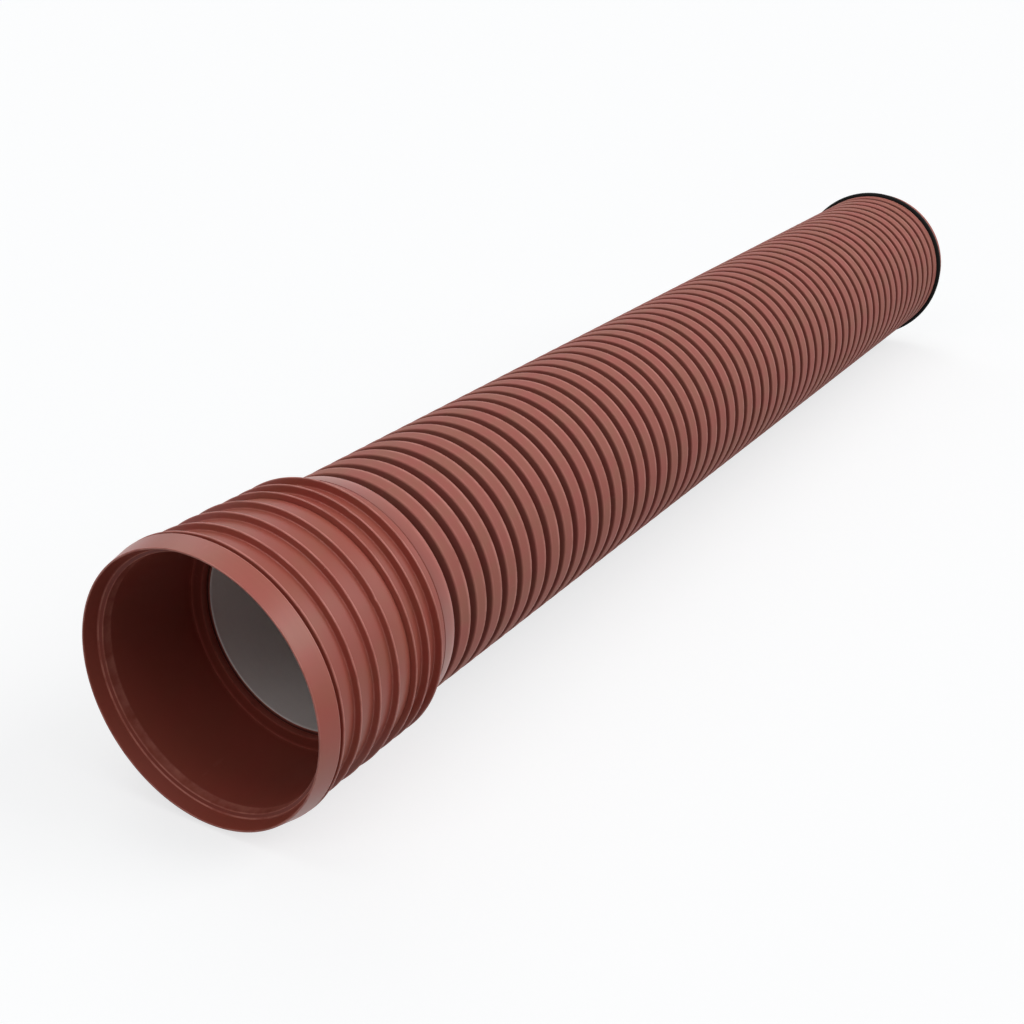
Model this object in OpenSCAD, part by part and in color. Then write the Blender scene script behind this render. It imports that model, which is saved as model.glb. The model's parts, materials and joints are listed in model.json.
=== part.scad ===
// Twin-wall corrugated plastic sewer pipe, one sold length.
// A corrugated outer wall is fused over a smooth inner wall. One end carries
// a ribbed moulded socket, and the other a rubber ring in its last valley.
// The pipe lies along X with its socket mouth at -X, on the plane z = 0.
// Distances along the pipe are counted from the mouth of the socket.

/* [Pipe] */
// Nominal length from the stop to the spigot end, cut in the first valley past it
pipe_l = 3000; // [600:50:6000]
// Inside diameter of the smooth inner wall
flow_d = 393; // [340:1:440]
// Thickness of the smooth inner wall
inner_wall_t = 2.8; // [2:0.1:4]
// Thickness of the corrugated outer wall
outer_wall_t = 2.6; // [1.8:0.1:3.2]
// Plain valley left past the first and the last corrugation
end_stub = 1.5; // [1:0.5:6]

/* [Corrugations] */
// Height of a corrugation above the valleys
corrugation_h = 23.1; // [16:0.1:30]
// Distance from one corrugation to the next
pitch = 52.5; // [46:0.5:60]
// Width of a corrugation at the foot of its shoulders
crown_w = 35; // [26:0.5:38]
// How far each flank leans out towards the valley
flank_run = 3.4; // [1:0.2:5]
// Width of the eased edge on each side of a crown
shoulder_w = 5; // [1:0.5:7]
// Depth of the eased edge on each side of a crown
shoulder_h = 4; // [1:0.5:6]

/* [Socket bore] */
// Room between the crowns and the bore that the next pipe slides into
bore_gap = 2; // [1:0.1:4]
// Depth from the mouth to the stop
stop_depth = 239; // [220:1:280]
// How far the face of the stop leans in
stop_lean = 3; // [0.5:0.5:5]
// Thickness of the stop in front of the pipe
stop_t = 16.7; // [10:0.1:20]
// How much wider the opening through the stop is than the valleys, in radius
throat_gap = 4.1; // [1:0.1:8]
// Length of the lead-in cone behind the mouth
lead_in_l = 25.5; // [15:0.5:35]
// Height of the front of the lead-in cone above the bore
lead_in_front_h = 16.5; // [12:0.5:20]
// Height of the back of the lead-in cone above the bore
lead_in_back_h = 9; // [5:0.5:11]
// Length of the step behind the lead-in cone
step_l = 3.3; // [2:0.1:8]
// Height of the back of the step above the bore
step_back_h = 1.5; // [1:0.1:4.5]
// Length of the last cone down to the bore
run_in_l = 15.5; // [6:0.5:20]

/* [Socket outside] */
// Thickness of the lip round the mouth
lip_t = 3; // [1.5:0.5:5]
// Wall of the socket round the bore
front_wall_t = 11.7; // [7:0.1:13]
// Wall of the socket round the pipe
rear_wall_t = 9.7; // [6:0.1:12]
// Length of the smooth rim band
rim_l = 40; // [28:0.5:44]
// Height of the back of the rim band above the wall
rim_h = 16.5; // [12:0.5:24]
// Width of the groove behind the rim band
groove_w = 5.6; // [4:0.1:12]
// Height of the first rib above the wall
first_rib_h = 16.8; // [12:0.1:24]
// Height of the other front ribs above the wall
front_rib_h = 11.9; // [8:0.1:20]
// Distance from one front rib to the next
front_rib_pitch = 50.7; // [40:0.1:58]
// Number of front ribs
front_ribs = 4; // [2:1:4]
// Height of the rear ribs above the wall
rear_rib_h = 14; // [8:0.5:20]
// Distance from the stop to the first rear rib
rear_rib_offset = 12.6; // [8:0.1:20]
// Distance from one rear rib to the next
rear_rib_pitch = 37.4; // [28:0.1:40]
// Number of rear ribs
rear_ribs = 3; // [1:1:3]
// Thickness of a rib at its crest
rib_t = 3.6; // [2:0.2:6]
// How much wider a rib is at its foot, on each side
rib_draft = 1.6; // [0.4:0.2:3]
// Distance from the last rear rib to the seam
seam_offset = 29.1; // [10:0.1:36]
// Width of the seam
seam_w = 2.4; // [0.6:0.2:4]
// Depth of the seam
seam_depth = 2; // [0.4:0.1:3]
// Thickness of the tail at its rear end, over the last crown that it covers
tail_t = 1.7; // [1:0.1:4]
// Number of corrugations inside the socket
covered = 3; // [3:1:5]

/* [Sealing ring] */
// Height of the ring's lip above the crowns
lip_h = 10; // [5:0.5:12]
// Height of the ring's head edges above the crowns
head_edge_h = 0.6; // [0.4:0.1:2]
// Distance from the ring's head edge to the top of its lip
lip_set_back = 8; // [5:0.5:12]

/* [Fits] */
// Gap between the socket and the pipe inside it
socket_fit = 0.3; // [0.2:0.05:0.6]
// Gap between the sealing ring and its valley
ring_fit = 0.3; // [0.2:0.05:0.6]
// How far the ring's head stays back from the flat of a crown
head_fit = 1.5; // [0.5:0.1:3]

/* [Hidden] */
$fn = 144;

body_colour = [0.62, 0.33, 0.29];
socket_colour = [0.60, 0.28, 0.25];
liner_colour = [0.52, 0.50, 0.48];
rubber_colour = [0.07, 0.07, 0.07];

// Radii of the pipe
flow_r = flow_d / 2;
liner_r = flow_r + inner_wall_t;
valley_r = liner_r + outer_wall_t;
crown_r = valley_r + corrugation_h;
shoulder_r = crown_r - shoulder_h;
foot_w = crown_w + 2 * flank_run;
flat_w = crown_w - 2 * shoulder_w;

// Radii of the socket
bore_r = crown_r + bore_gap;
collar_r = crown_r + socket_fit;
front_floor_r = bore_r + front_wall_t;
rear_floor_r = collar_r + rear_wall_t;
rib_foot = rib_t / 2 + rib_draft;

// Stations along the pipe, from the mouth
corrugations = ceil(pipe_l / pitch);
pipe_start = stop_depth + stop_t + socket_fit;
first_crown = pipe_start + end_stub + foot_w / 2;
last_crown = first_crown + (corrugations - 1) * pitch;
overall_l = last_crown + foot_w / 2 + end_stub;
first_front_rib = rim_l + groove_w + rib_foot;
first_rear_rib = stop_depth + rear_rib_offset;
last_rear_rib = first_rear_rib + (rear_ribs - 1) * rear_rib_pitch;
seam = last_rear_rib + seam_offset;
tail_end = first_crown + (covered - 1) * pitch + flat_w / 2;
ring_centre = last_crown - pitch / 2;

// The axis lies as high as the socket's widest ring
widest_r = max(
    front_floor_r + max(rim_h, first_rib_h, front_rib_h),
    rear_floor_r + rear_rib_h
);

// A profile of [distance from the mouth, radius], turned about the pipe's axis
module turned(profile) {
    translate([-overall_l / 2, 0, widest_r])
        rotate([0, 90, 0])
            rotate_extrude()
                polygon([for (p = profile) [p[1], p[0]]]);
}

// Outside of one corrugation, from its near foot to its far foot
function corrugation_outside(centre) = [
    [centre - foot_w / 2, valley_r],
    [centre - crown_w / 2, shoulder_r],
    [centre - flat_w / 2, crown_r],
    [centre + flat_w / 2, crown_r],
    [centre + crown_w / 2, shoulder_r],
    [centre + foot_w / 2, valley_r]
];

// Its hollow inside, from the far foot back to the near one
function corrugation_hollow(centre) = [
    [centre + foot_w / 2 - outer_wall_t, liner_r],
    [centre + crown_w / 2 - outer_wall_t, shoulder_r - outer_wall_t / 2],
    [centre + flat_w / 2 - outer_wall_t / 3, crown_r - outer_wall_t],
    [centre - flat_w / 2 + outer_wall_t / 3, crown_r - outer_wall_t],
    [centre - crown_w / 2 + outer_wall_t, shoulder_r - outer_wall_t / 2],
    [centre - foot_w / 2 + outer_wall_t, liner_r]
];

// One thin rib of the socket, standing on its wall
function rib(centre, floor_r, h) = [
    [centre - rib_foot, floor_r],
    [centre - rib_t / 2, floor_r + h],
    [centre + rib_t / 2, floor_r + h],
    [centre + rib_foot, floor_r]
];

module corrugated_wall() {
    outside = [for (i = [0 : corrugations - 1]) each corrugation_outside(first_crown + i * pitch)];
    hollows = [for (i = [corrugations - 1 : -1 : 0]) each corrugation_hollow(first_crown + i * pitch)];
    color(body_colour)
        turned(concat(
            [[pipe_start, liner_r], [pipe_start, valley_r]],
            outside,
            [[overall_l, valley_r], [overall_l, liner_r]],
            hollows
        ));
}

module inner_wall() {
    color(liner_colour)
        turned([
            [pipe_start, flow_r],
            [pipe_start, liner_r],
            [overall_l, liner_r],
            [overall_l, flow_r]
        ]);
}

module socket() {
    rim = [
        [0, bore_r + lead_in_front_h + lip_t],
        [rim_l, front_floor_r + rim_h],
        [rim_l, front_floor_r]
    ];
    first_rib = rib(first_front_rib, front_floor_r, first_rib_h);
    more_front_ribs = [
        for (i = [1 : 1 : front_ribs - 1])
            each rib(first_front_rib + i * front_rib_pitch, front_floor_r, front_rib_h)
    ];
    floor_step = [[first_rear_rib - rib_foot - rib_draft, front_floor_r]];
    all_rear_ribs = [
        for (i = [0 : rear_ribs - 1])
            each rib(first_rear_rib + i * rear_rib_pitch, rear_floor_r, rear_rib_h)
    ];
    seam_groove = [
        [seam - seam_w / 2, rear_floor_r],
        [seam, rear_floor_r - seam_depth],
        [seam + seam_w / 2, rear_floor_r]
    ];
    tail = [[tail_end, collar_r + tail_t], [tail_end, collar_r]];
    stop = [
        [stop_depth + stop_t, collar_r],
        [stop_depth + stop_t, valley_r + throat_gap],
        [stop_depth + stop_lean, valley_r + throat_gap],
        [stop_depth, bore_r]
    ];
    mouth = [
        [lead_in_l + step_l + run_in_l, bore_r],
        [lead_in_l + step_l, bore_r + step_back_h],
        [lead_in_l, bore_r + lead_in_back_h],
        [0, bore_r + lead_in_front_h]
    ];
    color(socket_colour)
        turned(concat(rim, first_rib, more_front_ribs, floor_step, all_rear_ribs,
            seam_groove, tail, stop, mouth));
}

// The ring's foot fills the valley, and its lip leans back towards the socket
module sealing_ring() {
    foot_half = (pitch - foot_w) / 2 - ring_fit;
    neck_half = (pitch - crown_w) / 2 - ring_fit;
    head_half = (pitch - flat_w) / 2 - head_fit;
    edge_r = crown_r + head_edge_h;
    rise = lip_h - head_edge_h;
    lip = lip_set_back - head_half;
    lip_arc = [
        for (a = [180 : -20 : 20])
            [lip + lip_set_back * cos(a), edge_r + rise * sin(a)]
    ];
    profile = concat(
        [[-foot_half, valley_r + ring_fit], [-neck_half, shoulder_r]],
        lip_arc,
        [[head_half, edge_r], [neck_half, shoulder_r], [foot_half, valley_r + ring_fit]]
    );
    color(rubber_colour)
        turned([for (p = profile) [p[0] + ring_centre, p[1]]]);
}

corrugated_wall();
inner_wall();
socket();
sealing_ring();
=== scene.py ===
import json
import math

import bpy
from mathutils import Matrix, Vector, noise


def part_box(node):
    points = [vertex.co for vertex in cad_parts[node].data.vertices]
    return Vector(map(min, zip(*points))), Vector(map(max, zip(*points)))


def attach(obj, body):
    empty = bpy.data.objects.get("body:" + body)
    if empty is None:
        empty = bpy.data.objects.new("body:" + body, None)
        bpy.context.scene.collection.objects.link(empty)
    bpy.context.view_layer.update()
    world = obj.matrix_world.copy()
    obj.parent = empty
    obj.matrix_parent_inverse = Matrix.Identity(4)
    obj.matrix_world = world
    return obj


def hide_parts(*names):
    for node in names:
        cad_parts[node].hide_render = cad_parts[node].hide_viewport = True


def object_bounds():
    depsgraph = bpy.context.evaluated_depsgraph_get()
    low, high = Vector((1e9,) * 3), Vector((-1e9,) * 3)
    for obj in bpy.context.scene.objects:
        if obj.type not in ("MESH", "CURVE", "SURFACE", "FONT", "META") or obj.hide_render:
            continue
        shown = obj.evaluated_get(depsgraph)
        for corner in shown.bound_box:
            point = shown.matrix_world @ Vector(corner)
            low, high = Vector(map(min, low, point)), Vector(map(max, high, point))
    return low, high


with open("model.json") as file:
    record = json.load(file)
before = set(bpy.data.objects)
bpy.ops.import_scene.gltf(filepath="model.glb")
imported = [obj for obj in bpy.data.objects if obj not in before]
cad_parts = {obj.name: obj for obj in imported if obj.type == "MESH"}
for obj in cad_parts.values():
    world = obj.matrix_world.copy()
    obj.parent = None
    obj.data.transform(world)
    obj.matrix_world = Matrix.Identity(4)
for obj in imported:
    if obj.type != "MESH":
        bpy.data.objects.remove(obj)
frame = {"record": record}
cadLow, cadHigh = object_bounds()
print("frame loaded, pipe is %.3f m long" % (cadHigh.x - cadLow.x))

mm = 0.001
mounts = {mount["name"]: mount for mount in frame["record"]["mounts"]}
axisHeight = mounts["flow_bore"]["pos_m"][2]
mouthX = cadLow.x


def stationOf(x):
    return (x - mouthX) / mm  # millimetres from the mouth, along the pipe


# the sizes of all pieces are in millimetres
pipeSizes = {
    "crownRadius": mounts["spigot"]["dims"]["r_mm"],
    "boreRadius": mounts["socket_bore"]["dims"]["r_mm"],
    "flowRadius": mounts["flow_bore"]["dims"]["r_mm"],
    "start": stationOf(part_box("corrugated_wall")[0].x),
    "end": stationOf(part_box("corrugated_wall")[1].x),
    "innerWall": 2.8,
    "outerWall": 2.6,
}
linerRadius = pipeSizes["flowRadius"] + pipeSizes["innerWall"]
valleyRadius = linerRadius + pipeSizes["outerWall"]

coarse, medium, fine = 1, 2, 3  # how many pieces an eased corner is cut into
turning = {
    "straight": 89,    # a corner with a half angle above this, in degrees, isn't eased
    "arcReach": 0.49,  # the largest share of a side that one arc takes up
    "guardRoom": 3,    # a flat shorter than this many guards gets no guard points
    "flatWeight": 60,  # how much the large faces rule the smooth shading
}


def easeCorner(before, corner, after, ease, steps):
    # an arc of steps pieces that is tangent to both sides of a corner
    p, a, b = Vector(corner), Vector(before), Vector(after)
    toA, toB = a - p, b - p
    lengthA, lengthB = toA.length, toB.length
    toA.normalize()
    toB.normalize()
    half = toA.angle(toB) / 2
    if ease <= 0 or half > math.radians(turning["straight"]):
        return [tuple(p)]
    share = turning["arcReach"]
    reach = min(ease / math.tan(half), share * lengthA, share * lengthB)
    ease = reach * math.tan(half)
    centre = p + (toA + toB).normalized() * (ease / math.sin(half))
    first = p + toA * reach - centre
    turn = math.pi - 2 * half
    if first.x * toA.y - first.y * toA.x > 0:
        turn = -turn
    points = []
    for i in range(steps + 1):
        t = turn * i / steps
        points.append((
            centre.x + first.x * math.cos(t) - first.y * math.sin(t),
            centre.y + first.x * math.sin(t) + first.y * math.cos(t),
        ))
    return points


def windingOf(points):
    # above 0 where the outline runs one way round, and below 0 for the other
    total = 0
    for i, here in enumerate(points):
        there = points[(i + 1) % len(points)]
        total += here[0] * there[1] - there[0] * here[1]
    return total


def easedOutline(corners, guard=0):
    # corners are (station, radius, ease, steps); each point comes back with its edge value,
    # 1 on an outside corner, -1 in an inside one and 0 on the flats.
    # a fifth item is the pair of edge values that the corner starts and ends with instead.
    # guard is how far from the eased corners without such a pair the flats are back at 0
    winding = windingOf(corners)
    count = len(corners)
    outline = []
    for i in range(count):
        before, after = corners[i - 1][:2], corners[(i + 1) % count][:2]
        x, r, ease, steps = corners[i][:4]
        cross = (x - before[0]) * (after[1] - r) - (r - before[1]) * (after[0] - x)
        side = 0 if ease <= 0 else (1 if cross * winding > 0 else -1)
        given = len(corners[i]) > 4
        first, last = corners[i][4] if given else (side, side)
        points = easeCorner(before, (x, r), after, ease, steps)
        for k, point in enumerate(points):
            edge = first + (last - first) * k / max(1, len(points) - 1)
            outline.append((point[0], point[1], edge, bool(guard and side and not given)))
    guarded = []
    for i, (x, r, edge, fades) in enumerate(outline):
        nextX, nextR, _, nextFades = outline[(i + 1) % len(outline)]
        guarded.append((x, r, edge))
        gap = math.hypot(nextX - x, nextR - r)
        if gap < turning["guardRoom"] * guard:
            continue
        for fadesHere, share in ((fades, guard / gap), (nextFades, 1 - guard / gap)):
            if fadesHere:
                guarded.append((x + (nextX - x) * share, r + (nextR - r) * share, 0))
    return guarded


def addObject(name, data):
    holder = bpy.data.objects.new(name, data)
    bpy.context.scene.collection.objects.link(holder)
    return holder


def turnPiece(name, outline, sides, wobble=None):
    # sweeps a closed outline once round the pipe's axis
    vertices = []
    edgeValues = []
    for station, radius, edge in outline:
        for k in range(sides):
            angle = 2 * math.pi * k / sides
            r = radius
            if wobble:
                r -= wobble(station, radius, angle)
            vertices.append((
                mouthX + station * mm,
                -r * mm * math.sin(angle),
                axisHeight + r * mm * math.cos(angle),
            ))
            edgeValues.append(edge)
    faces = []
    count = len(outline)
    for i in range(count):
        here, there = i * sides, ((i + 1) % count) * sides
        for k in range(sides):
            n = (k + 1) % sides
            faces.append((here + k, here + n, there + n, there + k))
    mesh = bpy.data.meshes.new(name)
    mesh.from_pydata(vertices, [], faces)
    mesh.update()
    if windingOf(outline) > 0:
        mesh.flip_normals()
    mesh.shade_smooth()
    layer = mesh.attributes.new("edge", "FLOAT", "POINT")
    layer.data.foreach_set("value", edgeValues)
    piece = addObject(name, mesh)
    weighted = piece.modifiers.new("flatsStayFlat", "WEIGHTED_NORMAL")
    weighted.mode = "FACE_AREA"
    weighted.weight = turning["flatWeight"]
    return piece


def ripple(station, angle, along, around, seed):
    # smooth noise from 0 to 1 that closes round the pipe. along is about how long its waves are,
    # in millimetres, a greater around puts more of them round the pipe, and seed shifts them
    place = Vector((station / along + seed, math.cos(angle) * around, math.sin(angle) * around))
    return 0.5 + 0.5 * noise.noise(place)


def link(tree, fromSocket, toSocket):
    tree.links.new(fromSocket, toSocket)


def feed(tree, target, value):
    # a target socket takes either another node's output or a plain value
    if isinstance(value, bpy.types.NodeSocket):
        link(tree, value, target)
    else:
        target.default_value = value


def addNode(tree, kind, **values):
    node = tree.nodes.new(kind)
    for key, value in values.items():
        feed(tree, node.inputs[key], value)
    return node


def newGroup(name, inputs, outputs):
    group = bpy.data.node_groups.new(name, "ShaderNodeTree")
    for label, kind, value in inputs:
        group.interface.new_socket(label, in_out="INPUT", socket_type=kind).default_value = value
    for label, kind in outputs:
        group.interface.new_socket(label, in_out="OUTPUT", socket_type=kind)
    return group, group.nodes.new("NodeGroupInput"), group.nodes.new("NodeGroupOutput")


def scaled(tree, vector, scale):
    node = tree.nodes.new("ShaderNodeVectorMath")
    node.operation = "MULTIPLY"
    feed(tree, node.inputs[0], vector)
    feed(tree, node.inputs[1], scale)
    return node.outputs[0]


def mathNode(tree, operation, a, b, clamp=False):
    node = tree.nodes.new("ShaderNodeMath")
    node.operation = operation
    node.use_clamp = clamp
    feed(tree, node.inputs[0], a)
    feed(tree, node.inputs[1], b)
    return node.outputs[0]


def times(tree, a, b, clamp=False):
    return mathNode(tree, "MULTIPLY", a, b, clamp)


def mixColour(tree, factor, a, b, blend="MIX"):
    node = tree.nodes.new("ShaderNodeMix")
    node.data_type = "RGBA"
    node.blend_type = blend
    for i, value in ((0, factor), (6, a), (7, b)):  # the sockets of its colour mode
        feed(tree, node.inputs[i], value)
    return node.outputs[2]


def objectPlace(tree):
    return addNode(tree, "ShaderNodeTexCoord").outputs["Object"]


def noiseOf(tree, vector, detail, scale, roughness):
    node = addNode(tree, "ShaderNodeTexNoise", Vector=vector, Scale=scale, Detail=detail,
                   Roughness=roughness)
    return node.outputs["Fac"]


def edgeValue(tree):
    node = tree.nodes.new("ShaderNodeAttribute")
    node.attribute_name = "edge"
    return node.outputs["Fac"]


def stretch(tree, value, low, high):
    node = addNode(tree, "ShaderNodeMapRange", Value=value)
    node.inputs["From Min"].default_value = low
    node.inputs["From Max"].default_value = high
    return node.outputs["Result"]


# what a group shows until it is given a colour
midGrey, paleGrey = (0.5, 0.5, 0.5, 1), (0.7, 0.7, 0.7, 1)

toneDriftGrain = {
    "patchShape": (1, 1.6, 1.6), "patchRange": (0.36, 0.64), "patchRoughness": 0.55,
    "streakShape": (190, 3, 3), "streakRoughness": 0.6, "detail": 3,
}


# tone drift of a coloured plastic: broad patches and streaks that run round the pipe
def buildToneDrift():
    g = toneDriftGrain
    group, given, out = newGroup(
        "toneDrift",
        [("Colour", "NodeSocketColor", midGrey), ("Warm", "NodeSocketColor", midGrey),
         ("Patch Scale", "NodeSocketFloat", 6.0), ("Streak Amount", "NodeSocketFloat", 0.1),
         ("Patch Amount", "NodeSocketFloat", 0.6)],
        [("Colour", "NodeSocketColor")])
    place = objectPlace(group)
    patches = noiseOf(group, scaled(group, place, g["patchShape"]), g["detail"],
                      given.outputs["Patch Scale"], g["patchRoughness"])
    patches = stretch(group, patches, *g["patchRange"])
    tone = mixColour(group, times(group, patches, given.outputs["Patch Amount"]),
                     given.outputs["Colour"], given.outputs["Warm"])
    streaks = scaled(group, place, g["streakShape"])
    streaks = noiseOf(group, streaks, g["detail"], 1.0, g["streakRoughness"])
    streaks = mathNode(group, "SUBTRACT", streaks, 0.5)  # about as often paler as darker
    shade = mathNode(group, "ADD", times(group, streaks, given.outputs["Streak Amount"]), 1.0)
    grey = addNode(group, "ShaderNodeCombineColor", Red=shade, Green=shade, Blue=shade).outputs[0]
    link(group, mixColour(group, 1.0, tone, grey, "MULTIPLY"), out.inputs["Colour"])
    return group


paleEdgesAndShadeGrain = {
    "scale": 26.0, "detail": 4, "roughness": 0.6, "range": (0.3, 0.6),
    "cornerTint": (0.45, 0.35, 0.33, 1),
}


# pale edges, wear and painted highlight, and painted corner shade, from turnPiece's edge value
def buildPaleEdgesAndShade():
    g = paleEdgesAndShadeGrain
    group, given, out = newGroup(
        "edgeRub",
        [("Colour", "NodeSocketColor", midGrey), ("Rubbed", "NodeSocketColor", paleGrey),
         ("Amount", "NodeSocketFloat", 0.3), ("Corner Depth", "NodeSocketFloat", 0.2)],
        [("Colour", "NodeSocketColor"), ("Mask", "NodeSocketFloat")])
    edge = edgeValue(group)
    broken = noiseOf(group, objectPlace(group), g["detail"], g["scale"], g["roughness"])
    broken = stretch(group, broken, *g["range"])
    outside = mathNode(group, "MAXIMUM", edge, 0.0, True)
    inside = mathNode(group, "MAXIMUM", times(group, edge, -1.0), 0.0, True)
    mask = times(group, times(group, outside, broken), given.outputs["Amount"], True)
    # painted shade: inside corners are darkened towards the tint
    paintedShade = times(group, inside, given.outputs["Corner Depth"], True)
    colour = mixColour(group, mask, given.outputs["Colour"], given.outputs["Rubbed"])
    dark = mixColour(group, 1.0, colour, g["cornerTint"], "MULTIPLY")
    link(group, mixColour(group, paintedShade, colour, dark), out.inputs["Colour"])
    link(group, mask, out.inputs["Mask"])
    return group


skinReliefGrain = {
    "grainScale": 520.0, "grainDetail": 3, "grainRoughness": 0.6, "lineShape": (420, 6, 6),
    "waveScale": 38.0, "detail": 2, "roughness": 0.5,
    "depth": 0.0004,  # metres
}


# fine moulded grain, faint lines that run round the pipe, and shallow waves
def buildSkinRelief():
    g = skinReliefGrain
    group, given, out = newGroup(
        "skinRelief",
        [("Grain", "NodeSocketFloat", 0.4), ("Lines", "NodeSocketFloat", 0.4),
         ("Waves", "NodeSocketFloat", 0.4)],
        [("Height", "NodeSocketFloat")])
    place = objectPlace(group)
    grain = noiseOf(group, place, g["grainDetail"], g["grainScale"], g["grainRoughness"])
    grain = times(group, grain, given.outputs["Grain"])
    lines = noiseOf(group, scaled(group, place, g["lineShape"]), g["detail"], 1.0, g["roughness"])
    lines = times(group, lines, given.outputs["Lines"])
    waves = noiseOf(group, place, g["detail"], g["waveScale"], g["roughness"])
    waves = times(group, waves, given.outputs["Waves"])
    height = mathNode(group, "ADD", mathNode(group, "ADD", grain, lines), waves)
    link(group, height, out.inputs["Height"])
    return group


handlingGrain = {
    "cellScale": 34.0, "scuffShape": (16, 90, 90), "scuffRange": (0.66, 0.74),
    "scuffPatchScale": 7.0, "scuffPatchRange": (0.5, 0.62), "detail": 2, "roughness": 0.5,
}


# specks of flash and dust, and short scuffs
def buildHandlingMarks():
    g = handlingGrain
    group, given, out = newGroup(
        "handlingMarks",
        [("Speck Share", "NodeSocketFloat", 0.03), ("Speck Size", "NodeSocketFloat", 0.0012),
         ("Scuff Share", "NodeSocketFloat", 0.2)],
        [("Specks", "NodeSocketFloat"), ("Scuffs", "NodeSocketFloat")])
    place = objectPlace(group)
    cells = addNode(group, "ShaderNodeTexVoronoi", Vector=place, Scale=g["cellScale"])
    far = mathNode(group, "DIVIDE", cells.outputs["Distance"], g["cellScale"])
    near = mathNode(group, "LESS_THAN", far, given.outputs["Speck Size"])
    picked = addNode(group, "ShaderNodeSeparateColor", Color=cells.outputs["Color"]).outputs[0]
    picked = mathNode(group, "LESS_THAN", picked, given.outputs["Speck Share"])
    link(group, times(group, near, picked), out.inputs["Specks"])
    thin = noiseOf(group, scaled(group, place, g["scuffShape"]), g["detail"], 1.0, g["roughness"])
    thin = stretch(group, thin, *g["scuffRange"])
    where = noiseOf(group, place, g["detail"], g["scuffPatchScale"], g["roughness"])
    where = stretch(group, where, *g["scuffPatchRange"])
    scuffs = times(group, thin, where, True)
    link(group, times(group, scuffs, given.outputs["Scuff Share"], True), out.inputs["Scuffs"])
    return group


toneDrift = buildToneDrift()
edgeRub = buildPaleEdgesAndShade()
skinRelief = buildSkinRelief()
handlingMarks = buildHandlingMarks()
print("shared node groups built")


def placeGroup(tree, group, **values):
    node = tree.nodes.new("ShaderNodeGroup")
    node.node_tree = group
    for key, value in values.items():
        feed(tree, node.inputs[key.replace("_", " ")], value)
    return node


def newMaterial(name):
    material = bpy.data.materials.new(name)
    material.use_nodes = True
    tree = material.node_tree
    return material, tree, tree.nodes["Principled BSDF"]


def addRelief(tree, skin, height, strength):
    bump = addNode(tree, "ShaderNodeBump", Height=height, Strength=strength,
                   Distance=skinReliefGrain["depth"])
    link(tree, bump.outputs["Normal"], skin.inputs["Normal"])


plasticGrain = {
    "dullScale": 11.0, "dullDetail": 3, "dullRoughness": 0.55, "scuffDull": 0.2, "speckHeight": 2.0,
}


def mouldedPlastic(name, look):
    # a dyed plastic skin, with tone drift, pale edges of wear and painted highlight,
    # painted shade in the corners, marks and moulded relief
    g = plasticGrain
    material, tree, skin = newMaterial(name)
    tone = placeGroup(tree, toneDrift, Colour=look["colour"], Warm=look["warm"],
                      Patch_Scale=look["patchScale"], Streak_Amount=look["streaks"],
                      Patch_Amount=look["patches"])
    edgeWearAndLight = placeGroup(tree, edgeRub, Colour=tone.outputs["Colour"], Rubbed=look["rubbed"],
                     Amount=look["rubAmount"], Corner_Depth=look["cornerDepth"])
    marks = placeGroup(tree, handlingMarks, Speck_Share=look["speckShare"],
                       Speck_Size=look["speckSize"], Scuff_Share=look["scuffs"])
    colour = mixColour(tree, marks.outputs["Specks"], edgeWearAndLight.outputs["Colour"], look["speckColour"])
    colour = mixColour(tree, marks.outputs["Scuffs"], colour, look["rubbed"])
    link(tree, colour, skin.inputs["Base Color"])
    patchy = noiseOf(tree, objectPlace(tree), g["dullDetail"], g["dullScale"], g["dullRoughness"])
    patchy = times(tree, patchy, look["roughnessDrift"])
    rough = mathNode(tree, "ADD", patchy, look["roughness"] - look["roughnessDrift"] / 2)
    rough = mathNode(tree, "ADD", rough, times(tree, marks.outputs["Scuffs"], g["scuffDull"]))
    polish = times(tree, edgeWearAndLight.outputs["Mask"], look["edgePolish"])
    rough = mathNode(tree, "SUBTRACT", rough, polish, True)
    link(tree, rough, skin.inputs["Roughness"])
    relief = placeGroup(tree, skinRelief, Grain=look["grain"], Lines=look["lines"],
                        Waves=look["waves"])
    specks = times(tree, marks.outputs["Specks"], g["speckHeight"])
    addRelief(tree, skin, mathNode(tree, "ADD", relief.outputs["Height"], specks), look["bump"])
    skin.inputs["Specular IOR Level"].default_value = look["specular"]
    return material


corrugatedWall = {
    "look": {
        "colour": (0.414, 0.128, 0.105, 1), "warm": (0.381, 0.144, 0.105, 1), "patches": 0.9,
        "patchScale": 12.0, "streaks": 0.10, "rubbed": (0.65, 0.285, 0.24, 1), "rubAmount": 0.90,
        # the pale edges are painted highlight with some wear; the corner shade is painted shade in
        # the valleys
        "cornerDepth": 0.93, "speckShare": 0.01, "speckSize": 0.0009,
        "speckColour": (0.55, 0.30, 0.26, 1), "scuffs": 0.12, "roughness": 0.62,
        "roughnessDrift": 0.10, "grain": 0.35, "lines": 0.25, "waves": 0.5, "bump": 0.30,
        "specular": 0.17, "edgePolish": 0.05,
    },
    "pitch": 52.5, "crownWidth": 35, "flankRun": 3.4, "endStub": 1.5, "shoulderDepth": 4,
    "shoulderEase": 4.0, "footEase": 2.5, "endFootEase": 1.0, "crownBow": 0.35,
    # shoulder edge values below 0 are painted shade on the flanks, and above 0 painted highlight
    "nearRub": 7, "farRub": 10,  # how far each pale edge, a painted highlight, fades in over the crown
    "nearEdge": (-0.5, 0.3), "farEdge": (1, -0.5),  # edge values where a shoulder starts and ends
    "sides": 92, "waver": 0.25, "waverGrain": (130, 2.2, 3.7), "valleySlack": 0.01,
}


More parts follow.
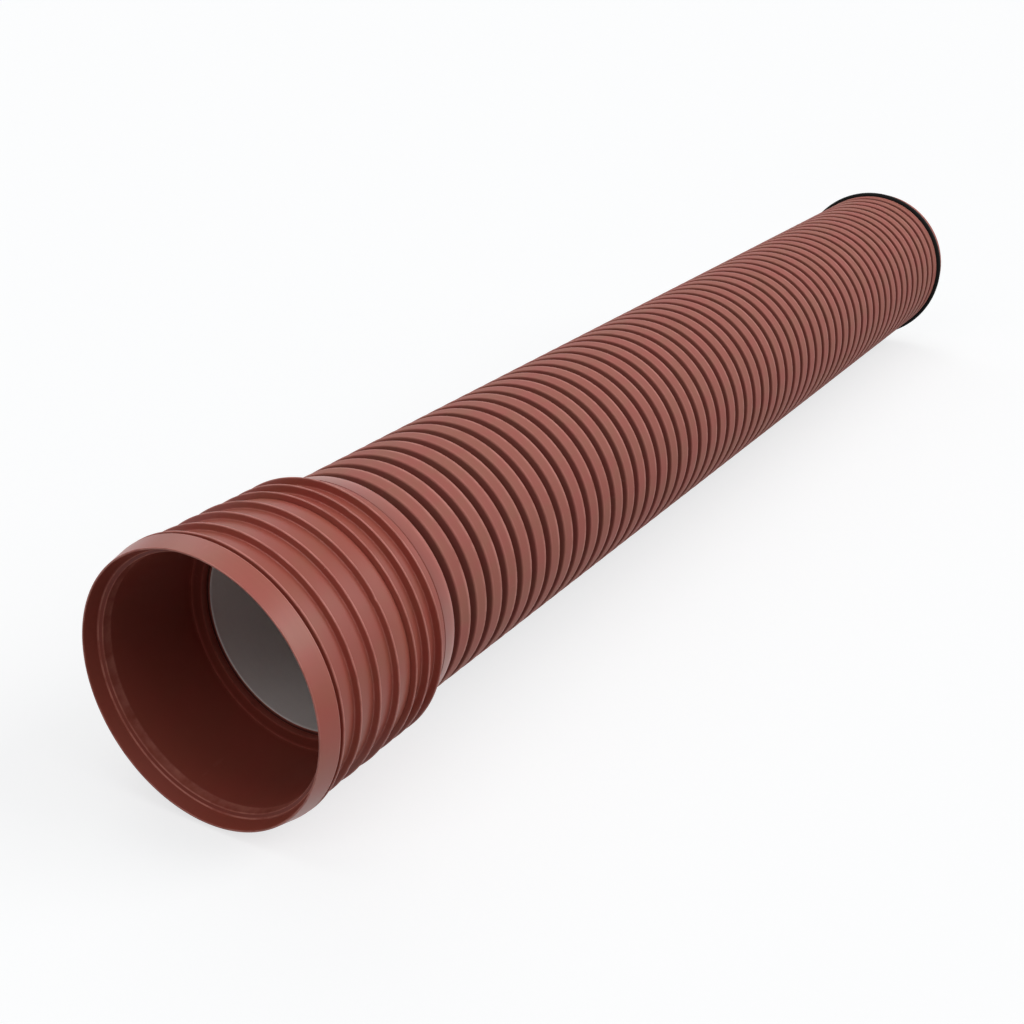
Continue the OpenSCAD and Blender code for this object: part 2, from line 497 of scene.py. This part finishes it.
def buildCorrugatedWall():
    s = corrugatedWall
    start, end = pipeSizes["start"], pipeSizes["end"]
    crown = pipeSizes["crownRadius"]
    thick = pipeSizes["outerWall"]
    footHalf = s["crownWidth"] / 2 + s["flankRun"]
    height = crown - valleyRadius
    # the flank carried on up to the crown's level
    lean = s["flankRun"] / (height - s["shoulderDepth"])
    topHalf = s["crownWidth"] / 2 - lean * s["shoulderDepth"]
    bowed = crown - s["crownBow"]
    first = start + s["endStub"] + footHalf
    count = round((end - start - 2 * (s["endStub"] + footHalf)) / s["pitch"]) + 1
    corners = [(start, linerRadius, 0, 0), (start, valleyRadius, 0, 0)]
    hollows = []
    for i in range(count):
        c = first + i * s["pitch"]
        # each corrugation is hollow down to the inner wall
        hollows = [
            (c + footHalf - thick, linerRadius, 0, 0),
            (c + topHalf - thick, crown - thick, 0, 0),
            (c - topHalf + thick, crown - thick, 0, 0),
            (c - footHalf + thick, linerRadius, 0, 0),
        ] + hollows
        foot = s["footEase"] if 0 < i < count - 1 else s["endFootEase"]
        # the valleys' inside corners carry -1, painted shade, and the shoulders painted highlight
        corners += [
            (c - footHalf, valleyRadius, foot, coarse),
            (c - topHalf, bowed, s["shoulderEase"], fine, s["nearEdge"]),
            (c - topHalf + s["nearRub"], crown, 0, 0),
            (c + topHalf - s["farRub"], crown, 0, 0),
            (c + topHalf, bowed, s["shoulderEase"], fine, s["farEdge"]),
            (c + footHalf, valleyRadius, foot, coarse),
        ]
    corners += [(end, valleyRadius, 0, 0), (end, linerRadius, 0, 0)] + hollows

    def waver(station, radius, angle):
        # the valleys stay true, because the inner wall is fused in them
        if radius < valleyRadius + s["valleySlack"]:
            return 0
        return s["waver"] * ripple(station, angle, *s["waverGrain"])

    piece = turnPiece("corrugatedWall", easedOutline(corners), s["sides"], waver)
    piece.data.materials.append(mouldedPlastic("corrugatedPlastic", s["look"]))
    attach(piece, "root")
    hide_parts("corrugated_wall")
    print("corrugated wall: %d corrugations, %d faces" % (count, len(piece.data.polygons)))


innerWall = {
    "look": {
        "colour": (0.90, 0.885, 0.87, 1), "warm": (0.87, 0.85, 0.83, 1), "patches": 0.7,
        # its pale edges, at the cut ends, are painted highlight
        "patchScale": 5.0, "streaks": 0.05, "rubbed": (0.97, 0.96, 0.94, 1), "rubAmount": 1.0,
        "cornerDepth": 0.0, "speckShare": 0.004, "speckSize": 0.0009,
        "speckColour": (0.55, 0.5, 0.46, 1), "scuffs": 0.10, "roughness": 0.42,
        "roughnessDrift": 0.10, "grain": 0.2, "lines": 0.1, "waves": 0.4, "bump": 0.22,
        "specular": 0.5, "edgePolish": 0.26,
    },
    "sink": 0.22, "sinkShares": (0, 0.3, 0.5, 0.7), "endFlat": 4,
    "endEase": 1.3, "endFade": 1.6, "hiddenEase": 0.3, "sides": 144,
}


def buildInnerWall():
    s, wall = innerWall, corrugatedWall
    flow = pipeSizes["flowRadius"]
    start, end = pipeSizes["start"], pipeSizes["end"]
    first = start + wall["endStub"] + wall["crownWidth"] / 2 + wall["flankRun"]
    # the eased ends carry edge value 1: pale edges that are painted highlight
    outline = easedOutline([
        (end, flow, s["endEase"], fine), (end, linerRadius, s["hiddenEase"], coarse),
        (start, linerRadius, s["hiddenEase"], coarse), (start, flow, s["endEase"], fine),
    ])
    outline.append((start + s["endEase"] + s["endFade"], flow, 0))
    # the wall sinks a little into each hollow corrugation, and stays true over the valleys
    station = first - wall["pitch"] / 2
    while station < end:
        for share in s["sinkShares"]:
            x = station + share * wall["pitch"]
            if start + s["endFlat"] < x < end - s["endFlat"]:
                sink = s["sink"] * (0.5 - 0.5 * math.cos(2 * math.pi * share))
                outline.append((x, flow + sink, 0))
        station += wall["pitch"]
    piece = turnPiece("innerWall", outline, s["sides"])
    piece.data.materials.append(mouldedPlastic("greyPlastic", s["look"]))
    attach(piece, "root")
    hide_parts("inner_wall")
    print("inner wall: %d faces" % len(piece.data.polygons))


socket = {
    "look": {
        "colour": (0.410, 0.090, 0.065, 1), "warm": (0.382, 0.107, 0.068, 1), "patches": 0.85,
        "patchScale": 8.0, "streaks": 0.05, "rubbed": (0.62, 0.21, 0.17, 1), "rubAmount": 0.80,
        # pale edges are painted highlight with some wear, and the corner shade is painted shade
        "cornerDepth": 0.50, "speckShare": 0.05, "speckSize": 0.0013,
        "speckColour": (0.62, 0.36, 0.30, 1), "scuffs": 0.10, "roughness": 0.36,
        "roughnessDrift": 0.10, "grain": 0.35, "lines": 0.10, "waves": 0.6, "bump": 0.28,
        "specular": 0.44, "edgePolish": 0.05,
    },
    # what differs inside the mouth; its darker colour there is painted shade
    "insideLook": {
        "colour": (0.318, 0.066, 0.046, 1), "warm": (0.305, 0.070, 0.046, 1),
        "rubbed": (0.60, 0.22, 0.17, 1), "speckShare": 0.012, "roughness": 0.42, "specular": 0.15,
    },
    "stopDepth": 239, "stopThickness": 16.7, "stopLean": 3, "throatGap": 4.1,
    # two points on the stop's face: share of the lean, and distance from the edge
    "stopTop": (0.8, 4), "stopBottom": (0.3, 6),
    "leadIn": 25.5, "leadInFront": 16.5, "leadInBack": 9,
    "step": 3.3, "stepBack": 1.5, "stepShares": (0.75, 0.25), "runIn": 15.5,
    "bead": 0.9, "beadWidth": 1.2, "beadRise": 0.5, "beadFoot": 2.3,
    "lip": 3, "frontWall": 11.7, "rearWall": 9.7, "fit": 0.3,
    "rim": 40, "rimHeight": 16.5, "groove": 5.6,
    "firstRibHeight": 16.8, "frontRibHeight": 11.9, "frontRibPitch": 50.7, "frontRibs": 4,
    "rearRibHeight": 14, "rearRibOffset": 12.6, "rearRibPitch": 37.4, "rearRibs": 3,
    "ribTop": 3.6, "ribDraft": 1.6, "ribLow": 0.25, "dustReach": 2.4,
    "seamOffset": 29.1, "seamWidth": 2.4, "seamDepth": 2, "seamReach": 1.5,
    "tail": 1.7, "tailReach": 12, "boreReach": 8, "runInReach": 3, "stepReach": 2.6,
    # how far each corner is eased
    "rimEase": 1.2, "grooveEase": 1.5, "crestEase": 1.7, "ribFootEase": 1.0, "floorEase": 1.0,
    "seamEase": 0.4, "seamFloorEase": 0.3, "tailEase": 0.8, "collarEase": 0.3, "throatEase": 0.8,
    "stopEase": 1.0, "runInEase": 3.0, "stepEase": 1.2, "beadEase": 0.8, "beadFrontEase": 0.7,
    "beadFootEase": 0.4, "mouthEase": 1.0,
    # edge values where a corner starts and ends; above 0 painted highlight with some wear, below 0
    # painted shade
    "edges": {
        "plain": (0, 0), "dust": (0.55, 0.55), "floor": (-0.3, -0.3),
        "seamNear": (-0.6, -1), "seamFloor": (-1, -1), "seamFar": (-1, -0.8), "tail": (0.9, 0.9),
        "throat": (0.3, 0.1), "stopTop": (-0.8, -0.8), "stopBottom": (-1, -1), "stop": (0.25, 0.25),
        "runInEnd": (0.65, 0.85), "runIn": (0.3, 0.3), "stepEdge": (1, 1), "stepFace": (-0.7, -0.7),
        "bead": (1, 1), "beadFoot": (-0.3, -0.3),
    },
    # small kinks in the crests: rib number, angle from the top towards -Y in degrees, depth,
    # and reach in degrees
    "kinks": [
        (4, 57, 1.4, 2.2), (6, 24, 1.0, 2.0), (2, 118, 0.9, 2.4), (5, 200, 1.1, 2.2),
        (7, 310, 0.9, 2.0),
    ],
    "sides": 256, "waver": 0.2, "waverGrain": (160, 1.8, 9.1), "waverAbove": 2,
    "guard": 1.0, "insideTurn": 0.15,
}


def ribCorners(centre, floor, height, shadeFront=True):
    s, edges = socket, socket["edges"]
    foot = s["ribTop"] / 2 + s["ribDraft"]
    low, high = floor + s["ribLow"] * height, floor + height
    # a pale line at the near foot is painted highlight; the floors and low faces get painted shade
    corners = [
        (centre - foot, floor, s["ribFootEase"], medium, edges["dust"]),
        (centre - foot + s["ribLow"] * s["ribDraft"], low, 0, 0, edges["floor"]),
        (centre - s["ribTop"] / 2, high, s["crestEase"], fine),
        (centre + s["ribTop"] / 2, high, s["crestEase"], fine),
        (centre + foot - s["ribLow"] * s["ribDraft"], low, 0, 0, edges["floor"]),
        (centre + foot, floor, s["ribFootEase"], medium, edges["floor"]),
    ]
    if shadeFront:
        corners.insert(0, (centre - foot - s["dustReach"], floor, 0, 0, edges["floor"]))
    return corners


def buildSocket():
    s, edges = socket, socket["edges"]
    bore = pipeSizes["boreRadius"]
    collar = pipeSizes["crownRadius"] + s["fit"]
    frontFloor = bore + s["frontWall"]
    rearFloor = collar + s["rearWall"]
    foot = s["ribTop"] / 2 + s["ribDraft"]
    firstFront = s["rim"] + s["groove"] + foot
    frontStations = [firstFront + i * s["frontRibPitch"] for i in range(s["frontRibs"])]
    firstRear = s["stopDepth"] + s["rearRibOffset"]
    rearStations = [firstRear + i * s["rearRibPitch"] for i in range(s["rearRibs"])]
    seam = rearStations[-1] + s["seamOffset"]
    tailEnd = stationOf(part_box("socket")[1].x)
    tailSlope = (s["rearWall"] - s["tail"]) / (tailEnd - seam - s["seamWidth"] / 2)
    throat = valleyRadius + s["throatGap"]
    stopEnd = s["stopDepth"] + s["stopThickness"]
    topLean, topDrop = s["stopTop"]
    bottomLean, bottomDrop = s["stopBottom"]
    stepBack = s["leadIn"] + s["step"]
    coneSlope = (s["leadInFront"] - s["leadInBack"]) / s["leadIn"]
    beadBack = bore + s["leadInBack"] - s["bead"]

    def stepRadius(share):
        # on the step's face, from the bead at 0 to the start of the run-in at 1
        top = s["leadInBack"] - s["bead"]
        return bore + top + (s["stepBack"] - top) * share

    # the outside, from the mouth to the tail
    corners = [
        (0, bore + s["leadInFront"] + s["lip"], s["rimEase"], fine),
        (s["rim"], frontFloor + s["rimHeight"], s["rimEase"], fine),
        (s["rim"], frontFloor, s["grooveEase"], medium),
    ]
    for i, station in enumerate(frontStations):
        height = s["firstRibHeight"] if i == 0 else s["frontRibHeight"]
        corners += ribCorners(station, frontFloor, height)
    corners.append((firstRear - foot - s["ribDraft"], frontFloor, s["floorEase"], medium))
    for station in rearStations:
        corners += ribCorners(station, rearFloor, s["rearRibHeight"], station > firstRear)
    # painted shade in the seam's groove; the pale tail edge is painted highlight with some wear
    tailPaleRadius = collar + s["tail"] + s["tailReach"] * tailSlope
    corners += [
        (seam - s["seamWidth"] / 2 - s["seamReach"], rearFloor, 0, 0, edges["plain"]),
        (seam - s["seamWidth"] / 2, rearFloor, s["seamEase"], coarse, edges["seamNear"]),
        (seam, rearFloor - s["seamDepth"], s["seamFloorEase"], coarse, edges["seamFloor"]),
        (seam + s["seamWidth"] / 2, rearFloor, s["seamEase"], coarse, edges["seamFar"]),
        (tailEnd - s["tailReach"], tailPaleRadius, 0, 0, edges["plain"]),
        (tailEnd, collar + s["tail"], s["tailEase"], medium, edges["tail"]),
        (tailEnd, collar, s["collarEase"], coarse),
    ]
    # the inside, back from the stop to the mouth
    runInRadius = bore + s["stepBack"] * (1 - s["stepReach"] / s["runIn"])
    beadFootRadius = bore + s["leadInBack"] + s["beadFoot"] * coneSlope
    # the pale lines inside are painted highlight, and the stop and step faces painted shade
    corners += [
        (stopEnd, collar, 0, 0),
        (stopEnd, throat, s["throatEase"], medium),
        (s["stopDepth"] + s["stopLean"], throat, s["stopEase"], medium, edges["throat"]),
        (s["stopDepth"] + topLean * s["stopLean"], throat + topDrop, 0, 0, edges["stopTop"]),
        (s["stopDepth"] + bottomLean * s["stopLean"], bore - bottomDrop, 0, 0, edges["stopBottom"]),
        (s["stopDepth"], bore, s["stopEase"], medium, edges["stop"]),
        (s["stopDepth"] - s["boreReach"], bore, 0, 0, edges["plain"]),
        (stepBack + s["runIn"] + s["runInReach"], bore, 0, 0, edges["plain"]),
        (stepBack + s["runIn"], bore, s["runInEase"], medium, edges["runInEnd"]),
        (stepBack + s["stepReach"], runInRadius, 0, 0, edges["runIn"]),
        (stepBack, bore + s["stepBack"], s["stepEase"], fine, edges["stepEdge"]),
    ]
    for share in s["stepShares"]:
        station = stepBack - (1 - share) * s["step"]
        corners.append((station, stepRadius(share), 0, 0, edges["stepFace"]))
    beadFront = s["leadIn"] - s["beadWidth"]
    corners += [
        (s["leadIn"], beadBack, s["beadEase"], fine, edges["bead"]),
        (beadFront, beadBack + s["beadRise"], s["beadFrontEase"], fine, edges["bead"]),
        (s["leadIn"] - s["beadFoot"], beadFootRadius, s["beadFootEase"], coarse, edges["beadFoot"]),
        (0, bore + s["leadInFront"], s["mouthEase"], fine),
    ]
    ribs = frontStations + rearStations

    def waver(station, radius, angle):
        # all but the rear wall and the bore waver a little, and some crests are kinked
        if radius <= rearFloor + s["waverAbove"]:
            return 0
        inward = s["waver"] * ripple(station, angle, *s["waverGrain"])
        for number, where, depth, reach in s["kinks"]:
            if abs(station - ribs[number - 1]) < s["ribTop"]:
                gap = (math.degrees(angle) - where + 180) % 360 - 180
                inward += depth * math.exp(-(gap / reach) ** 2)
        return inward

    piece = turnPiece("socketMoulding", easedOutline(corners, s["guard"]), s["sides"], waver)
    # the inside of the mouth gets a darker copy of the plastic, painted shade
    insideLook = dict(s["look"], **s["insideLook"])
    piece.data.materials.append(mouldedPlastic("socketPlastic", s["look"]))
    piece.data.materials.append(mouldedPlastic("socketInsidePlastic", insideLook))
    for face in piece.data.polygons:
        outward = Vector((0, face.center.y, face.center.z - axisHeight))
        facesIn = -face.normal.dot(outward.normalized()) > s["insideTurn"]
        if stationOf(face.center.x) < stopEnd and (facesIn or outward.length / mm < bore):
            face.material_index = 1
    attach(piece, "root")
    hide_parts("socket")
    print("socket: %d ribs, %d faces" % (len(ribs), len(piece.data.polygons)))


sealingRing = {
    "look": {
        "colour": (0.006, 0.006, 0.006, 1), "bloom": (0.016, 0.015, 0.014, 1),
        "bloomScale": 30.0, "bloomDetail": 4, "bloomRoughness": 0.6, "bloomRange": (0.45, 0.75),
        "bloomShare": 0.6, "wornShare": 0.5, "bloomDull": 0.14, "roughness": 0.56,
        "grain": 0.5, "lines": 0.5, "waves": 0.3, "bump": 0.25, "specular": 0.10,
    },
    "lipHeight": 10, "headEdge": 0.6, "lipSetBack": 8, "ringFit": 0.3,
    "lipStep": 10, "lipEnd": 20,  # the lip's arc runs from 180 degrees down to its end
    "bodyEase": 1.0, "headEase": 0.5,
    "grooves": 3, "grooveDepth": 0.7, "grooveHalf": 0.7, "grooveNear": 0.1, "grooveFar": 0.05,
    "grooveEase": 0.2, "grooveFloorEase": 0.3, "grooveLead": 0.7, "grooveSpare": 0.6,
    "sides": 216,
}


def rubber(name, look):
    # black rubber with a faint grey bloom, a little paler on corners: wear and painted highlight
    material, tree, skin = newMaterial(name)
    bloom = noiseOf(tree, objectPlace(tree), look["bloomDetail"], look["bloomScale"],
                    look["bloomRoughness"])
    bloom = stretch(tree, bloom, *look["bloomRange"])
    paleCorners = times(tree, mathNode(tree, "MAXIMUM", edgeValue(tree), 0.0), look["wornShare"])
    pale = mathNode(tree, "MAXIMUM", times(tree, bloom, look["bloomShare"]), paleCorners, True)
    link(tree, mixColour(tree, pale, look["colour"], look["bloom"]), skin.inputs["Base Color"])
    rough = mathNode(tree, "ADD", times(tree, bloom, look["bloomDull"]), look["roughness"])
    link(tree, rough, skin.inputs["Roughness"])
    relief = placeGroup(tree, skinRelief, Grain=look["grain"], Lines=look["lines"],
                        Waves=look["waves"])
    addRelief(tree, skin, relief.outputs["Height"], look["bump"])
    skin.inputs["Specular IOR Level"].default_value = look["specular"]
    return material


def buildSealingRing():
    s, wall = sealingRing, corrugatedWall
    low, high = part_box("sealing_ring")
    centre = (stationOf(low.x) + stationOf(high.x)) / 2
    headHalf = (stationOf(high.x) - stationOf(low.x)) / 2
    crown = pipeSizes["crownRadius"]
    footHalf = (wall["pitch"] - wall["crownWidth"]) / 2 - wall["flankRun"] - s["ringFit"]
    neckHalf = (wall["pitch"] - wall["crownWidth"]) / 2 - s["ringFit"]
    footRadius = valleyRadius + s["ringFit"]
    neckRadius = crown - wall["shoulderDepth"]
    edgeRadius = crown + s["headEdge"]
    rise = s["lipHeight"] - s["headEdge"]
    lip = s["lipSetBack"] - headHalf
    corners = [
        (-footHalf, footRadius, s["bodyEase"], medium),
        (-neckHalf, neckRadius, s["bodyEase"], medium),
    ]
    for degrees in range(180, s["lipEnd"] - 1, -s["lipStep"]):
        a = math.radians(degrees)
        x, r = lip + s["lipSetBack"] * math.cos(a), edgeRadius + rise * math.sin(a)
        corners.append((x, r, 0 if degrees < 180 else s["headEase"], medium))
    backX, backR = corners[-1][0], corners[-1][1]
    # fine grooves on the sloping back of the lip
    for i in range(s["grooves"]):
        t = (i + s["grooveLead"]) / (s["grooves"] + s["grooveSpare"])
        x = backX + (headHalf - backX) * t
        r = backR + (edgeRadius - backR) * t
        corners += [
            (x - s["grooveHalf"], r + s["grooveNear"], s["grooveEase"], coarse),
            (x, r - s["grooveDepth"], s["grooveFloorEase"], medium),
            (x + s["grooveHalf"], r + s["grooveFar"], s["grooveEase"], coarse),
        ]
    corners += [
        (headHalf, edgeRadius, s["headEase"], medium),
        (neckHalf, neckRadius, s["bodyEase"], medium),
        (footHalf, footRadius, s["bodyEase"], medium),
    ]
    corners = [(centre + x, r, ease, steps) for x, r, ease, steps in corners]
    piece = turnPiece("sealingRing", easedOutline(corners), s["sides"])
    piece.data.materials.append(rubber("ringRubber", s["look"]))
    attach(piece, "root")
    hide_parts("sealing_ring")
    print("sealing ring: %d faces" % len(piece.data.polygons))


buildCorrugatedWall()
buildInnerWall()
buildSocket()
buildSealingRing()


stageSet = {
    "floorSize": 120.0,  # metres
    "floorColour": (0.36, 0.36, 0.36, 1),  # what lights the pipe from below
    "floorShade": (0.38, 0.38, 0.38, 1), "floorGlow": 0.735,  # what is seen, with the pipe's shadow
    "worldColour": (0.078, 0.078, 0.078, 1), "backgroundColour": (0.956, 0.965, 0.973, 1),
}
lampSpread = 34  # degrees across, for soft shadows
# heading is the side that the light comes from, in degrees from +X towards +Y
lampSet = [
    {"name": "keyLamp", "heading": -59, "height": 36, "strength": 0.87},
    {"name": "nearLamp", "heading": -90, "height": 40, "strength": 0.23},
    {"name": "topLamp", "heading": -90, "height": 70, "strength": 0.29},
    {"name": "overheadLamp", "heading": 90, "height": 80, "strength": 0.42},
    {"name": "farLamp", "heading": 54, "height": 44, "strength": 0.28},
    {"name": "mouthLamp", "heading": -144, "height": 58, "strength": 0.310},
    {"name": "frontLamp", "heading": 172, "height": 39, "strength": 0.250},
    {"name": "lowLamp", "heading": -65, "height": 9, "strength": 0.26},
]
# place and reach in metres, angles in degrees, lens and sensor in millimetres
cameraSet = {
    "fromMouth": (-1.4515, -1.4607, 1.1797), "heading": 31.202, "down": 23.4815,
    "lens": 51.51, "sensor": 36, "reach": 200,
}


def directionTo(heading, height):
    a, b = math.radians(heading), math.radians(height)
    return Vector((math.cos(a) * math.cos(b), math.sin(a) * math.cos(b), math.sin(b)))


def aim(holder, direction, axis):
    holder.rotation_mode = "QUATERNION"
    holder.rotation_quaternion = direction.to_track_quat(axis, "Y")


def showPlain(tree, lit, seen, outKind):
    # the camera and glossy or clear surfaces see one shader, and the pipe is lit by the other
    path = tree.nodes.new("ShaderNodeLightPath")
    direct = mathNode(tree, "MAXIMUM", path.outputs["Is Camera Ray"], path.outputs["Is Glossy Ray"])
    direct = mathNode(tree, "MAXIMUM", direct, path.outputs["Is Transmission Ray"])
    mix = addNode(tree, "ShaderNodeMixShader", Fac=direct)
    link(tree, lit.outputs[0], mix.inputs[1])
    link(tree, seen.outputs[0], mix.inputs[2])
    link(tree, mix.outputs[0], tree.nodes.new(outKind).inputs["Surface"])


def buildStage():
    s = stageSet
    half = s["floorSize"] / 2
    corners = [(-half, -half, 0), (half, -half, 0), (half, half, 0), (-half, half, 0)]
    mesh = bpy.data.meshes.new("floor")
    mesh.from_pydata(corners, [], [(0, 1, 2, 3)])
    mesh.update()
    floor = addObject("floor", mesh)
    material = bpy.data.materials.new("paleFloor")
    material.use_nodes = True
    tree = material.node_tree
    tree.nodes.clear()
    diffuse = addNode(tree, "ShaderNodeBsdfDiffuse", Color=s["floorColour"])
    shade = addNode(tree, "ShaderNodeBsdfDiffuse", Color=s["floorShade"])
    glow = addNode(tree, "ShaderNodeEmission", Color=s["backgroundColour"], Strength=s["floorGlow"])
    seen = tree.nodes.new("ShaderNodeAddShader")
    link(tree, shade.outputs[0], seen.inputs[0])
    link(tree, glow.outputs[0], seen.inputs[1])
    showPlain(tree, diffuse, seen, "ShaderNodeOutputMaterial")
    floor.data.materials.append(material)

    world = bpy.data.worlds.new("studio")
    bpy.context.scene.world = world
    world.use_nodes = True
    tree = world.node_tree
    tree.nodes.clear()
    soft = addNode(tree, "ShaderNodeBackground", Color=s["worldColour"], Strength=1.0)
    plain = addNode(tree, "ShaderNodeBackground", Color=s["backgroundColour"], Strength=1.0)
    showPlain(tree, soft, plain, "ShaderNodeOutputWorld")


def buildLamps():
    for lamp in lampSet:
        light = bpy.data.lights.new(lamp["name"], "SUN")
        light.energy = lamp["strength"]
        light.angle = math.radians(lampSpread)
        aim(addObject(lamp["name"], light), directionTo(lamp["heading"], lamp["height"]), "Z")


def buildCamera():
    s = cameraSet
    camera = bpy.data.cameras.new("camera")
    camera.lens = s["lens"]
    camera.sensor_width = s["sensor"]
    camera.clip_end = s["reach"]
    holder = addObject("camera", camera)
    holder.location = Vector((mouthX, 0, axisHeight)) + Vector(s["fromMouth"])
    aim(holder, directionTo(s["heading"], -s["down"]), "-Z")
    bpy.context.scene.camera = holder


buildStage()
buildLamps()
buildCamera()
bpy.context.scene.view_settings.view_transform = "Standard"
print("floor, lamps and camera placed")
